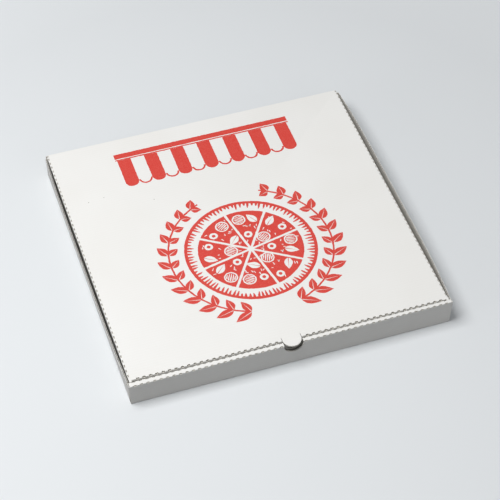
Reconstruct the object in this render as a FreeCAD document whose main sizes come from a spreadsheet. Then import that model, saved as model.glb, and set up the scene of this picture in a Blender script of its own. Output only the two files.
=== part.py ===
"""Pizza box of white fluted board: a folded tray with a roll-over front wall, and a hinged lid.

Millimetres. X runs right, Y back and Z up. The origin is on the table, under the middle of the tray's foot.
"""
import FreeCAD
import Part
import math
import os
import Sketcher
from FreeCAD import Vector

doc = FreeCAD.newDocument("pizza_box")

# Driving dimensions
DIMENSIONS = [
    ("box_width", 330, "outside width of the tray at its foot"),
    ("box_depth", 330, "outside depth of the tray at its foot"),
    ("lid_top", 29.1, "height of the lid's top face above the table"),
    ("board", 1.5, "thickness of the fluted board"),
    ("layer_gap", 0.15, "air between the layers of the front wall"),
    ("bend", 1.9, "outer radius of a plain fold"),
    ("crush", 1.7, "width and height of a perforated fold's flattened edge"),
    ("wall_foot", 2.4, "height at which a wall rises from the fold at its foot"),
    ("end_inset", 1.7, "front and back walls stop this far inside the sides"),
    ("inner_crest", 29.5, "height of the front wall's inner crease"),
    ("left_crest", 28.3, "height of the front wall's outer crease, left end"),
    ("right_crest", 30.2, "height of the front wall's outer crease, right end"),
    ("left_lean", 2.0, "how far the front wall leans out, left end"),
    ("right_lean", 0.8, "how far the front wall leans out, right end"),
    ("side_crest", 28.4, "height of the side walls' cut edges"),
    ("left_wall_end", 1.4, "how far the left wall's cut edge stands out, at its ends"),
    ("left_wall_middle", 3.4, "how far the left wall's cut edge stands out, half way"),
    ("right_wall_end", 1.2, "how far the right wall's cut edge stands out, at its ends"),
    ("right_wall_middle", 4.7, "how far the right wall's cut edge stands out, half way"),
    ("corner_run", 5, "length at each corner that the side folds leave to the corner fold"),
    ("front_tab", 64, "reach of a front corner tab along the front wall"),
    ("back_tab", 48, "reach of a back corner tab along the back wall"),
    ("tab_foot", 3, "height of a corner tab's lower edge"),
    ("hinge_gap", 0.3, "clearance between the lid's rounded back edge and the back wall"),
    ("foot_gap", 0.2, "play of the roll-over wall above and in the floor"),
    ("tongue_width", 28, "width of a locking tongue"),
    ("tongue_place", 92, "a tongue's distance from the middle"),
    ("notch_radius", 10.1, "half the width of the thumb notch"),
    ("notch_drop", 11.4, "depth of the thumb notch"),
    ("lid_width", 328.4, "width of the lid over its side folds"),
    ("lid_front", 160.5, "distance of the lid's front fold from the middle"),
    ("tuck_depth", 24, "depth of the tuck flap below the lid's top face"),
    ("tuck_lean", 1.9, "how far the tuck flap's lower edge swings in"),
    ("tuck_inset", 2.6, "the tuck flap stops this far inside the lid's side folds"),
    ("flap_depth", 22, "depth of a side flap below the lid's top face"),
    ("flap_lean", 1.9, "how far a side flap's lower edge swings in"),
    ("flap_inset", 2.6, "a side flap stops this far short of the lid's front fold"),
    ("flap_back", 3.2, "a side flap stops this far short of the hinge line"),
    ("flap_taper", 5, "how far a side flap's ends slope in towards its lower edge"),
    ("flute_pitch", 3.2, "repeat of the board's flutes"),
    ("flute_depth", 1.2, "depth to which the flutes' mouths are cut into the walls' top edges"),
    ("liner", 0.3, "board left on each side of a flute's mouth"),
    ("thumb_radius", 9.7, "radius of the thumb tab"),
    ("thumb_slit", 0.4, "width of the slit on each side of the thumb tab"),
    ("slit_reach", 1.7, "how far those slits run past the fold into the lid's panel"),
    ("round_flat", 0.1, "flat left at the bottom of the thumb notch and at the tip of the tab"),
    ("thumb_reach", 8.1, "how far the thumb tab stands past the lid's front fold"),
    ("perforation_pitch", 6.35, "repeat of the cuts along a perforated fold"),
    ("perforation_cut", 3.2, "length of one cut"),
]

sheet = doc.addObject("Spreadsheet::Sheet", "dims")
for row, (alias, size, meaning) in enumerate(DIMENSIONS, start=1):
    sheet.set(f"A{row}", alias)
    sheet.set(f"B{row}", str(size))
    sheet.set(f"C{row}", meaning)
    sheet.setAlias(f"B{row}", alias)
doc.recompute()

# Sizes that follow from the driving dimensions, as expressions of the sheet
HALF_WIDTH = "dims.box_width / 2"
FRONT = "-dims.box_depth / 2"
BACK = "dims.box_depth / 2"
INNER_BEND = "(dims.bend - dims.board)"
ROLLOVER = "(3 * dims.board + 2 * dims.layer_gap)"
HINGE_Y = f"({BACK} - dims.board / 2)"
HINGE_Z = "(dims.lid_top - dims.board / 2)"
BACK_CREST = "(dims.lid_top - dims.board - dims.hinge_gap)"
LID_UNDERSIDE = "(dims.lid_top - dims.board)"
LID_FLAT = "(dims.lid_width / 2 - dims.crush)"
TAB_FRONT = f"({FRONT} + dims.board + dims.layer_gap)"
TAB_BACK = f"({BACK} - dims.board - dims.layer_gap)"
WALL_END = "(dims.box_depth / 2 - dims.corner_run)"
PANEL_END = f"({HALF_WIDTH} - dims.end_inset)"


def plane(body, role):
    """One of the body's own origin planes."""
    return next(item for item in body.Origin.OriginFeatures if item.Role == role)


def sketch_on(body, name, role, offset="0"):
    """A sketch on one of the body's origin planes, moved along the plane's normal."""
    sketch = body.newObject("Sketcher::SketchObject", name)
    sketch.AttachmentSupport = (plane(body, role), [""])
    sketch.MapMode = "FlatFace"
    sketch.setExpression("AttachmentOffset.Base.z", offset)
    return sketch


def bound(sketch, kind, *place, text):
    """A dimension of the sketch that follows an expression of the sheet."""
    index = sketch.addConstraint(Sketcher.Constraint(kind, *place, float(sketch.evalExpression(text))))
    sketch.setExpression(f"Constraints[{index}]", text)


def outline(sketch, corners):
    """One closed outline. A corner is (across, up) or (across, up, bend radius), as expressions.

    Each corner is a point with two dimensions, each side runs through its two corner points,
    and a bend is an arc tangent to both its sides.
    """
    count = len(corners)
    points = [Vector(*(float(sketch.evalExpression(text)) for text in corner[:2])) for corner in corners]
    radii = [float(sketch.evalExpression(corner[2])) if len(corner) == 3 else 0 for corner in corners]
    ways = [(points[(side + 1) % count] - points[side]).normalize() for side in range(count)]
    turns = [ways[side - 1].getAngle(ways[side]) for side in range(count)]
    trims = [radius * math.tan(turn / 2) for radius, turn in zip(radii, turns)]
    sides = []
    marks = []
    for side in range(count):
        after = (side + 1) % count
        begin = points[side] + ways[side] * trims[side]
        finish = points[after] - ways[side] * trims[after]
        sides.append(sketch.addGeometry(Part.LineSegment(begin, finish), False))
        marks.append(sketch.addGeometry(Part.Point(points[side]), True))
        bound(sketch, "DistanceX", -1, 1, marks[side], 1, text=corners[side][0])
        bound(sketch, "DistanceY", -1, 1, marks[side], 1, text=corners[side][1])
    for side in range(count):
        before = sides[side - 1]
        this = sides[side]
        if not radii[side]:
            sketch.addConstraint(Sketcher.Constraint("Coincident", this, 1, marks[side], 1))
            sketch.addConstraint(Sketcher.Constraint("Coincident", before, 2, marks[side], 1))
            continue
        left_turn = ways[side - 1].cross(ways[side]).z > 0
        first = points[side] - ways[side - 1] * trims[side]
        last = points[side] + ways[side] * trims[side]
        inward = Vector(-ways[side].y, ways[side].x) * (radii[side] if left_turn else -radii[side])
        centre = last + inward
        ends = [first, last] if left_turn else [last, first]
        angles = [math.atan2((end - centre).y, (end - centre).x) for end in ends]
        circle = Part.Circle(centre, Vector(0, 0, 1), radii[side])
        arc = sketch.addGeometry(Part.ArcOfCircle(circle, *angles), False)
        near, far = (1, 2) if left_turn else (2, 1)
        sketch.addConstraint(Sketcher.Constraint("Tangent", before, 2, arc, near))
        sketch.addConstraint(Sketcher.Constraint("Tangent", this, 1, arc, far))
        sketch.addConstraint(Sketcher.Constraint("PointOnObject", marks[side], 1, before))
        sketch.addConstraint(Sketcher.Constraint("PointOnObject", marks[side], 1, this))
        bound(sketch, "Radius", arc, text=corners[side][2])


def pad(body, name, sketch, length, symmetric=False):
    """The sketch pushed out along its normal."""
    feature = body.newObject("PartDesign::Pad", name)
    feature.Profile = sketch
    feature.setExpression("Length", length)
    feature.SideType = "Symmetric" if symmetric else "One side"
    doc.recompute()


def pocket(body, name, sketch, length, symmetric=False, reverse=False):
    """The sketch cut away along its normal; stops if nothing is cut."""
    before = body.Shape.Volume
    feature = body.newObject("PartDesign::Pocket", name)
    feature.Profile = sketch
    feature.setExpression("Length", length)
    feature.SideType = "Symmetric" if symmetric else "One side"
    feature.Reversed = reverse
    doc.recompute()
    if feature.Shape.Volume > before - 1e-3:
        raise RuntimeError(f"{name} cuts nothing")


def loft(body, name, sketches, ruled=True):
    """A sheet drawn between two or more sections."""
    feature = body.newObject("PartDesign::AdditiveLoft", name)
    feature.Profile = sketches[0]
    feature.Sections = sketches[1:]
    feature.Ruled = ruled
    doc.recompute()


def perforate(body, name, role, start, corner, outward, run, along, back=False):
    """A row of cuts through a fold, each open between the ends of the two panels.

    corner is the fold's outer corner on the first cut's plane, and outward the sign of the way out.
    """
    across, up = corner
    cut = sketch_on(body, f"{name}_cut_outline", role, start)
    outline(cut, [
        (f"{across} - ({outward}) * dims.crush", f"{up} - dims.crush"),
        (f"{across} + ({outward}) * dims.board", f"{up} - dims.crush"),
        (f"{across} + ({outward}) * dims.board", f"{up} + dims.board"),
        (f"{across} - ({outward}) * dims.crush", f"{up} + dims.board"),
    ])
    pocket(body, f"{name}_cut", cut, "dims.perforation_cut", symmetric=True)
    row = body.newObject("PartDesign::LinearPattern", f"{name}_cuts")
    row.Originals = [body.getObject(f"{name}_cut")]
    row.Direction = along
    row.Reversed = back
    row.Mode = "Spacing"
    row.setExpression("Offset", "dims.perforation_pitch")
    row.setExpression("Occurrences", f"floor(({run}) / dims.perforation_pitch) + 1")
    body.Tip = row
    doc.recompute()


# Tray: one folded sheet
tray = doc.addObject("PartDesign::Body", "tray")
tray.Label = "tray"

# Floor, front and back folds and back wall
floor = sketch_on(tray, "floor_outline", "YZ_Plane")
outline(floor, [
    (BACK, BACK_CREST),
    (BACK, "0", "dims.bend"),
    (FRONT, "0", "dims.bend"),
    (FRONT, "dims.wall_foot"),
    (f"{FRONT} + dims.board", "dims.wall_foot"),
    (f"{FRONT} + dims.board", "dims.board", INNER_BEND),
    (f"{BACK} - dims.board", "dims.board", INNER_BEND),
    (f"{BACK} - dims.board", BACK_CREST),
])
pad(tray, "floor", floor, f"2 * {PANEL_END}", symmetric=True)


def front_wall_section(name, place, lean, crest):
    """The front wall up to its crest, over the strip and down the inner panel."""
    sketch = sketch_on(tray, name, "YZ_Plane", place)
    crest_inner = f"{FRONT} - {lean} + {ROLLOVER}"
    outline(sketch, [
        (FRONT, "dims.wall_foot"),
        (f"{FRONT} - {lean}", f"{crest} - dims.crush"),
        (f"{FRONT} - {lean} + dims.crush", crest),
        (f"{crest_inner} - dims.crush", "dims.inner_crest"),
        (crest_inner, "dims.inner_crest - dims.crush"),
        (f"{FRONT} + {ROLLOVER}", "dims.board + dims.foot_gap"),
        (f"{FRONT} + {ROLLOVER} - dims.board", "dims.board + dims.foot_gap"),
        (f"{crest_inner} - dims.board", "dims.inner_crest - dims.board"),
        (f"{FRONT} - {lean} + dims.board", f"{crest} - dims.board"),
        (f"{FRONT} + dims.board", "dims.wall_foot"),
    ])
    return sketch


# The roll-over front wall leans out a little more at its left end
left_section = front_wall_section("left_section", f"-{PANEL_END}", "dims.left_lean", "dims.left_crest")
right_section = front_wall_section("right_section", PANEL_END, "dims.right_lean", "dims.right_crest")
loft(tray, "front_wall", [left_section, right_section])


# The folds at the feet of the side walls, cut short of the corners
FOOT_LAP = f"({HALF_WIDTH} - 2 * dims.bend)"
foot_folds = sketch_on(tray, "foot_folds_outline", "XZ_Plane")
for side in ("-1", "1"):
    outline(foot_folds, [
        (f"{side} * {FOOT_LAP}", "0"),
        (f"{side} * {HALF_WIDTH}", "0", "dims.bend"),
        (f"{side} * {HALF_WIDTH}", "dims.wall_foot"),
        (f"{side} * ({HALF_WIDTH} - dims.board)", "dims.wall_foot"),
        (f"{side} * ({HALF_WIDTH} - dims.board)", "dims.board", INNER_BEND),
        (f"{side} * {FOOT_LAP}", "dims.board"),
    ])
pad(tray, "foot_folds", foot_folds, "dims.box_depth - 2 * dims.corner_run", symmetric=True)

# Side walls: straight at the foot, pushed out half way along by the lid's flaps
for side, word in (("-1", "left"), ("1", "right")):
    stations = []
    for spot, place, stand_out in (
        ("front", WALL_END, f"dims.{word}_wall_end"),
        ("middle", "0", f"dims.{word}_wall_middle"),
        ("back", f"-{WALL_END}", f"dims.{word}_wall_end"),
    ):
        station = sketch_on(tray, f"{word}_wall_{spot}_section", "XZ_Plane", place)
        outline(station, [
            (f"{side} * {HALF_WIDTH}", "dims.wall_foot"),
            (f"{side} * ({HALF_WIDTH} + {stand_out})", "dims.side_crest"),
            (f"{side} * ({HALF_WIDTH} + {stand_out} - dims.board)", "dims.side_crest"),
            (f"{side} * ({HALF_WIDTH} - dims.board)", "dims.wall_foot"),
        ])
        stations.append(station)
    loft(tray, f"{word}_wall", stations, ruled=False)



def front_lean(place, height):
    """How far the front wall leans out, at a distance along it and a height."""
    share = f"(({place}) / {PANEL_END} + 1) / 2"
    lean = f"(dims.left_lean + (dims.right_lean - dims.left_lean) * {share})"
    crest = f"(dims.left_crest + (dims.right_crest - dims.left_crest) * {share})"
    return f"{lean} * ({height} - dims.wall_foot) / ({crest} - dims.wall_foot)"


# Corner folds: each side wall turns into a tab behind the front or the back wall
for side, word in (("-1", "left"), ("1", "right")):
    for end, spot in (("-1", "front"), ("1", "back")):
        under_strip = f"(min(dims.{word}_crest; dims.inner_crest) - dims.board - 2 * dims.layer_gap)"
        levels = []
        for level, height in (
            ("low", "dims.tab_foot"),
            ("high", under_strip if spot == "front" else BACK_CREST),
        ):
            climb = f"(({height} - dims.wall_foot) / (dims.side_crest - dims.wall_foot))"
            stand_out = f"dims.{word}_wall_end * {climb}"
            outside = f"{side} * ({HALF_WIDTH} + {stand_out})"
            inside = f"{side} * ({HALF_WIDTH} + {stand_out} - dims.board)"
            tab_end = f"{side} * ({HALF_WIDTH} - dims.{spot}_tab)"
            if spot == "front":
                fold_face = f"{TAB_FRONT} - {front_lean(outside, height)}"
                end_face = f"{TAB_FRONT} - {front_lean(tab_end, height)}"
            else:
                fold_face = end_face = TAB_BACK
            section = sketch_on(tray, f"{word}_{spot}_{level}_section", "XY_Plane", height)
            outline(section, [
                (outside, f"{end} * {WALL_END}"),
                (outside, fold_face, "dims.bend"),
                (tab_end, end_face),
                (tab_end, f"{end_face} - {end} * dims.board"),
                (inside, f"{fold_face} - {end} * dims.board", INNER_BEND),
                (inside, f"{end} * {WALL_END}"),
            ])
            levels.append(section)
        loft(tray, f"{word}_{spot}_corner", levels)

# Tongues of the roll-over wall, locked in slots in the floor
tongue_slots = sketch_on(tray, "tongue_slots_outline", "XY_Plane")
tongues = sketch_on(tray, "tongues_outline", "XY_Plane", "dims.foot_gap")
for side in ("-1", "1"):
    for sketch, play in ((tongue_slots, "dims.foot_gap"), (tongues, "0")):
        near = f"{side} * dims.tongue_place - dims.tongue_width / 2 - {play}"
        far = f"{side} * dims.tongue_place + dims.tongue_width / 2 + {play}"
        fore = f"{FRONT} + {ROLLOVER} - dims.board - {play}"
        aft = f"{FRONT} + {ROLLOVER} + {play}"
        outline(sketch, [(near, fore), (far, fore), (far, aft), (near, aft)])
pocket(tray, "tongue_slots", tongue_slots, "dims.board", reverse=True)
pad(tray, "tongues", tongues, "dims.board + dims.bend")

# Thumb notch through all the layers of the front wall
NOTCH_CORNER = "dims.notch_radius - dims.round_flat / 2"
notch = sketch_on(tray, "thumb_notch_outline", "XZ_Plane", f"-({FRONT})")
outline(notch, [
    ("-dims.notch_radius", "dims.right_crest + dims.board"),
    ("-dims.notch_radius", "dims.lid_top - dims.notch_drop", NOTCH_CORNER),
    ("dims.notch_radius", "dims.lid_top - dims.notch_drop", NOTCH_CORNER),
    ("dims.notch_radius", "dims.right_crest + dims.board"),
])
pocket(tray, "thumb_notch", notch, f"2 * ({ROLLOVER} + dims.left_lean)", symmetric=True)

def crease_line(name, corners):
    """A line through like corners of the front wall's two sections."""
    line = tray.newObject("PartDesign::Line", name)
    ends = []
    for section, corner in zip((left_section, right_section), corners):
        place = Vector(section.Placement.Base.x, *(float(section.evalExpression(text)) for text in corner))
        distances = [place.distanceToPoint(vertex.Point) for vertex in section.Shape.Vertexes]
        ends.append((section, f"Vertex{distances.index(min(distances)) + 1}"))
    line.AttachmentSupport = ends
    line.MapMode = "TwoPointLine"
    doc.recompute()
    return (line, [""])


# The strip's two creases are perforated, so that they fold sharply
CRESTS = [(f"{FRONT} - dims.{word}_lean", f"dims.{word}_crest") for word in ("left", "right")]
for name, outward, corners in (
    ("outer_crease", "-1", CRESTS),
    ("inner_crease", "1", [(f"{across} + {ROLLOVER}", "dims.inner_crest") for across, up in CRESTS]),
):
    tangents = [(f"{across} - ({outward}) * dims.crush", up) for across, up in corners]
    perforate(tray, name, "YZ_Plane", f"-{PANEL_END} + dims.perforation_pitch / 2", corners[0], outward,
              f"2 * {PANEL_END} - dims.perforation_pitch", crease_line(f"{name}_line", tangents))

# Mouths of the flutes in the side walls' cut edges, in a row round the arc of the bowed wall
for side, word in (("-1", "left"), ("1", "right")):
    bow = f"(dims.{word}_wall_middle - dims.{word}_wall_end)"
    radius = f"(({WALL_END} ^ 2 + {bow} ^ 2) / (2 * {bow}))"
    first = f"asin(({WALL_END} - dims.flute_pitch / 2) / {radius})"
    base = f"{radius} - dims.board + dims.liner"
    half = "(dims.flute_pitch / 2 - dims.liner)"
    mouth = sketch_on(tray, f"{word}_flute_outline", "XY_Plane", "dims.side_crest")
    centre = f"{side} * ({HALF_WIDTH} + dims.{word}_wall_middle - {radius})"
    mouth.setExpression("AttachmentOffset.Base.x", centre)
    mouth.setExpression("AttachmentOffset.Rotation.Angle", f"90 deg - {side} * 90 deg - {first}")
    doc.recompute()
    outline(mouth, [
        (base, f"-{half}"),
        (f"{radius} - dims.liner", "0"),
        (base, half),
    ])
    pocket(tray, f"{word}_flute", mouth, "dims.flute_depth")
    axis = tray.newObject("PartDesign::Line", f"{word}_bow_axis")
    axis.AttachmentSupport = (mouth, [""])
    axis.MapMode = "ObjectZ"
    row = tray.newObject("PartDesign::PolarPattern", f"{word}_flutes")
    row.Originals = [tray.getObject(f"{word}_flute")]
    row.Axis = (axis, [""])
    row.Mode = "Spacing"
    row.setExpression("Offset", f"dims.flute_pitch / {radius} * 180 deg / pi")
    row.setExpression("Occurrences", f"floor(2 * {WALL_END} / dims.flute_pitch)")
    tray.Tip = row
    doc.recompute()

# Lid: the same sheet past the back crease, cut there so that it can turn
lid = doc.addObject("PartDesign::Body", "lid")
lid.Label = "lid"

# Top panel, with its back edge rounded about the hinge line
panel = sketch_on(lid, "panel_outline", "XY_Plane", LID_UNDERSIDE)
outline(panel, [
    (f"-{LID_FLAT}", "-dims.lid_front + dims.crush"),
    (LID_FLAT, "-dims.lid_front + dims.crush"),
    (LID_FLAT, HINGE_Y),
    (f"-{LID_FLAT}", HINGE_Y),
])
pad(lid, "panel", panel, "dims.board")
bead = sketch_on(lid, "hinge_edge_outline", "YZ_Plane")
circle = bead.addGeometry(Part.Circle(Vector(0, 0, 0), Vector(0, 0, 1), 1), False)
bound(bead, "DistanceX", -1, 1, circle, 3, text=HINGE_Y)
bound(bead, "DistanceY", -1, 1, circle, 3, text=HINGE_Z)
bound(bead, "Radius", circle, text="dims.board / 2")
pad(lid, "hinge_edge", bead, f"2 * {LID_FLAT}", symmetric=True)

# Side folds and side flaps, their ends sloped to clear the tuck flap and the back wall
FLAP_START = f"({HINGE_Y} - dims.flap_back)"
FLAP_END = "(-dims.lid_front + dims.flap_inset)"
side_flaps = sketch_on(lid, "side_flaps_outline", "XZ_Plane", f"-{FLAP_START}")
for side in ("-1", "1"):
    outer = f"{side} * dims.lid_width / 2"
    outline(side_flaps, [
        (f"{outer} - {side} * 2 * dims.crush", "dims.lid_top"),
        (f"{outer} - {side} * dims.crush", "dims.lid_top"),
        (outer, "dims.lid_top - dims.crush"),
        (f"{outer} - {side} * dims.flap_lean", "dims.lid_top - dims.flap_depth"),
        (f"{outer} - {side} * (dims.flap_lean + dims.board)", "dims.lid_top - dims.flap_depth"),
        (f"{outer} - {side} * dims.board", LID_UNDERSIDE),
        (f"{outer} - {side} * 2 * dims.crush", LID_UNDERSIDE),
    ])
pad(lid, "side_flaps", side_flaps, f"{FLAP_START} - {FLAP_END}")
flap_ends = sketch_on(lid, "flap_ends_outline", "YZ_Plane")
for end, inward in ((FLAP_START, "-1"), (FLAP_END, "1")):
    outline(flap_ends, [
        (end, "dims.lid_top - dims.crush"),
        (f"{end} + ({inward}) * dims.flap_taper", "dims.lid_top - dims.flap_depth"),
        (f"{end} + ({inward}) * dims.flap_taper", "dims.lid_top - dims.flap_depth - dims.board"),
        (f"{end} - ({inward}) * dims.board", "dims.lid_top - dims.flap_depth - dims.board"),
        (f"{end} - ({inward}) * dims.board", "dims.lid_top - dims.crush"),
    ])
pocket(lid, "flap_ends", flap_ends, "dims.lid_width + 2 * dims.board", symmetric=True)

# Front fold and tuck flap
tuck = sketch_on(lid, "tuck_flap_outline", "YZ_Plane")
outline(tuck, [
    ("-dims.lid_front + 2 * dims.crush", "dims.lid_top"),
    ("-dims.lid_front + dims.crush", "dims.lid_top"),
    ("-dims.lid_front", "dims.lid_top - dims.crush"),
    ("-dims.lid_front + dims.tuck_lean", "dims.lid_top - dims.tuck_depth"),
    ("-dims.lid_front + dims.tuck_lean + dims.board", "dims.lid_top - dims.tuck_depth"),
    ("-dims.lid_front + dims.board", LID_UNDERSIDE),
    ("-dims.lid_front + 2 * dims.crush", LID_UNDERSIDE),
])
pad(lid, "tuck_flap", tuck, "dims.lid_width - 2 * dims.tuck_inset", symmetric=True)

# Thumb tab: cut out of the tuck flap, it stays in the plane of the top panel
THUMB_GAP = "(dims.thumb_radius + dims.thumb_slit)"
tab_gap = sketch_on(lid, "thumb_gap_outline", "XZ_Plane", "dims.lid_front")
outline(tab_gap, [
    (f"-{THUMB_GAP}", "dims.lid_top + dims.board"),
    (f"-{THUMB_GAP}", "dims.lid_top - dims.notch_drop", "dims.thumb_radius"),
    (THUMB_GAP, "dims.lid_top - dims.notch_drop", "dims.thumb_radius"),
    (THUMB_GAP, "dims.lid_top + dims.board"),
])
pocket(lid, "thumb_gap", tab_gap, "2 * (dims.crush + dims.slit_reach)", symmetric=True)
TAB_CORNER = "dims.thumb_radius - dims.round_flat / 2"
TAB_ROOT = "-dims.lid_front + 2 * dims.crush + dims.slit_reach"
tab = sketch_on(lid, "thumb_tab_outline", "XY_Plane", LID_UNDERSIDE)
outline(tab, [
    ("dims.thumb_radius", TAB_ROOT),
    ("-dims.thumb_radius", TAB_ROOT),
    ("-dims.thumb_radius", "-dims.lid_front - dims.thumb_reach", TAB_CORNER),
    ("dims.thumb_radius", "-dims.lid_front - dims.thumb_reach", TAB_CORNER),
])
pad(lid, "thumb_tab", tab, "dims.board")

# Perforations of the lid's three folds
for side, word in (("-1", "left"), ("1", "right")):
    perforate(lid, f"{word}_fold", "XZ_Plane", f"-{FLAP_END} - dims.perforation_cut",
              (f"{side} * dims.lid_width / 2", "dims.lid_top"), side,
              f"{FLAP_START} - {FLAP_END} - 2 * dims.perforation_cut", (plane(lid, "Y_Axis"), [""]))
    perforate(lid, f"{word}_front_fold", "YZ_Plane", f"{side} * (dims.thumb_radius + dims.perforation_cut)",
              ("-dims.lid_front", "dims.lid_top"), "-1",
              "dims.lid_width / 2 - dims.tuck_inset - dims.thumb_radius - 2 * dims.perforation_cut",
              (plane(lid, "X_Axis"), [""]), back=word == "left")

# Checks, then one STEP file for each sheet
doc.recompute()
for item in doc.Objects:
    if {"Invalid", "Error"} & set(item.State):
        raise RuntimeError(f"{item.Name} did not build: {item.State}")
    if item.TypeId == "Sketcher::SketchObject" and not item.FullyConstrained:
        raise RuntimeError(f"{item.Name} is not fully constrained")

os.makedirs("parts", exist_ok=True)
for body in (tray, lid):
    shape = body.Shape
    if shape.isNull() or not shape.isValid() or len(shape.Solids) != 1:
        raise RuntimeError(f"{body.Label} is not one valid solid")
    shape.exportStep(f"parts/{body.Label}.step")
    box = shape.optimalBoundingBox()
    print(f"{body.Label}: {shape.Volume / 1000:.1f} cm3, {len(shape.Faces)} faces,",
          f"x {box.XMin:.2f} to {box.XMax:.2f}, y {box.YMin:.2f} to {box.YMax:.2f},",
          f"z {box.ZMin:.2f} to {box.ZMax:.2f}")
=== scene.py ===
"""Pizza box of white fluted board: the folded tray, the hinged lid, the open flutes and the print.

Sizes are in millimetres until a piece is placed. X runs right, Y back and Z up, as in the frame.
"""
import math
import random

import bmesh
import bpy
from mathutils import Matrix, Vector, noise


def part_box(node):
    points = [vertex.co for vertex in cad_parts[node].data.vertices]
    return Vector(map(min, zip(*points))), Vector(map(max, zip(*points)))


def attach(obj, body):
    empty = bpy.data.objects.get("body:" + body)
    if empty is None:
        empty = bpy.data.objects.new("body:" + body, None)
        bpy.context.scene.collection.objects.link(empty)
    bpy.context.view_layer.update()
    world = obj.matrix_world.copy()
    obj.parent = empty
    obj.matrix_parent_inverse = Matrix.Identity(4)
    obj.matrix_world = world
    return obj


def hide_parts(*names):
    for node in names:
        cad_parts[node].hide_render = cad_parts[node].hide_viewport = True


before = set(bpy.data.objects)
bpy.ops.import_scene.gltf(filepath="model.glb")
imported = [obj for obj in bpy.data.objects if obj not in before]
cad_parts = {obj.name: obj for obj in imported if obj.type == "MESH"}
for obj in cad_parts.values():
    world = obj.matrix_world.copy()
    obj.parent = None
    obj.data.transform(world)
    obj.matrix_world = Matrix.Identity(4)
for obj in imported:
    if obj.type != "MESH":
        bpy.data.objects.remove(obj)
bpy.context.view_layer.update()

# Studio
# A pale table under one broad soft lamp high at the box's left, with two weak lamps for its shaded
# walls. The camera stands at the front left and looks down. The floor throws less light back than it
# shows to the eye, so that the walls stay in shade, and it grows paler far off.
MM = 0.001
CAMERA_PLACE = (-0.3887, -1.2131, 1.3649)
CAMERA_TARGET = (0.0069, -0.0095, 0)
CAMERA_ROLL = math.radians(-0.22)
CAMERA_LENS = 129.4
CAMERA_SENSOR = 36
CAMERA_NEAR = 0.05
camera = bpy.data.objects.new("camera", bpy.data.cameras.new("camera"))
bpy.context.scene.collection.objects.link(camera)
camera.data.lens = CAMERA_LENS
camera.data.sensor_width = CAMERA_SENSOR
camera.data.clip_start = CAMERA_NEAR
aim = (Vector(CAMERA_TARGET) - Vector(CAMERA_PLACE)).to_track_quat("-Z", "Y").to_matrix().to_4x4()
camera.matrix_world = Matrix.Translation(CAMERA_PLACE) @ aim @ Matrix.Rotation(CAMERA_ROLL, 4, "Z")
bpy.context.scene.camera = camera
bpy.context.scene.view_settings.view_transform = "Standard"


def linear(colour):
    """A hex colour as linear red, green, blue and alpha."""
    parts = [int(colour[place:place + 2], 16) / 255 for place in (1, 3, 5)]
    return [part / 12.92 if part < 0.04045 else ((part + 0.055) / 1.055) ** 2.4 for part in parts] + [1]


def add(tree, kind, inputs=None, **settings):
    """A node with its settings, its inputs set to values or linked to other nodes' outputs."""
    node = tree.nodes.new(kind)
    for name, value in settings.items():
        setattr(node, name, value)
    for socket, value in (inputs or {}).items():
        if isinstance(value, bpy.types.NodeSocket):
            tree.links.new(value, node.inputs[socket])
        else:
            node.inputs[socket].default_value = value
    return node


def new_material(name):
    """A material with one shader on its output: the material, its nodes and the shader."""
    made = bpy.data.materials.new(name)
    made.use_nodes = True
    made.node_tree.nodes.clear()
    shader = add(made.node_tree, "ShaderNodeBsdfPrincipled")
    add(made.node_tree, "ShaderNodeOutputMaterial", {"Surface": shader.outputs["BSDF"]})
    return made, made.node_tree, shader


def lamp(name, place, size, power):
    """A square soft lamp aimed at the box."""
    light = bpy.data.objects.new(name, bpy.data.lights.new(name, "AREA"))
    light.data.size = size
    light.data.energy = power
    light.location = place
    light.rotation_euler = (-Vector(place)).to_track_quat("-Z", "Y").to_euler()
    bpy.context.scene.collection.objects.link(light)


lamp("soft_box", (-0.65, -0.05, 1.6), 1.0, 23.5)
lamp("front_fill", (0.6, -1.7, 0.7), 0.8, 1.8)
lamp("side_fill", (-1.7, -0.4, 0.45), 0.5, 2.2)

ROOM_LIGHT = 0.3
ROOM_SEEN = 0.8
room = bpy.data.worlds.new("room")
room.use_nodes = True
air = room.node_tree.nodes["Background"]
air.inputs["Color"].default_value = linear("#F4F6F8")
watched = add(room.node_tree, "ShaderNodeLightPath")
air_level = add(room.node_tree, "ShaderNodeMapRange", {
    "Value": watched.outputs["Is Camera Ray"],
    "To Min": ROOM_LIGHT,
    "To Max": ROOM_SEEN,
})
room.node_tree.links.new(air_level.outputs[0], air.inputs["Strength"])
bpy.context.scene.world = room

FLOOR_SIZE = 4
FLOOR_DROP = 0.05
GLOW_START = 0.4
GLOW_END = 1.8
GLOW = 0.6
floor_paint, floor_tree, floor_shader = new_material("matt_table_paint")
seen = add(floor_tree, "ShaderNodeLightPath")
floor_colour = add(floor_tree, "ShaderNodeMix", {
    0: seen.outputs["Is Camera Ray"],
    6: linear("#8C8E90"),
    7: linear("#E4E7E9"),
}, data_type="RGBA")
floor_tree.links.new(floor_colour.outputs[2], floor_shader.inputs["Base Color"])
floor_shader.inputs["Roughness"].default_value = 0.9
floor_shader.inputs["Emission Color"].default_value = linear("#E4E7E9")
floor_place = add(floor_tree, "ShaderNodeTexCoord")
floor_reach = add(floor_tree, "ShaderNodeVectorMath", {
    0: floor_place.outputs["Object"],
}, operation="LENGTH")
far_glow = add(floor_tree, "ShaderNodeMapRange", {
    "Value": floor_reach.outputs["Value"],
    "From Min": GLOW_START,
    "From Max": GLOW_END,
    "To Max": GLOW,
})
seen_glow = add(floor_tree, "ShaderNodeMath", {
    0: far_glow.outputs[0],
    1: seen.outputs["Is Camera Ray"],
}, operation="MULTIPLY")
floor_tree.links.new(seen_glow.outputs[0], floor_shader.inputs["Emission Strength"])
table = bmesh.new()
bmesh.ops.create_grid(table, x_segments=1, y_segments=1, size=FLOOR_SIZE)
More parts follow.
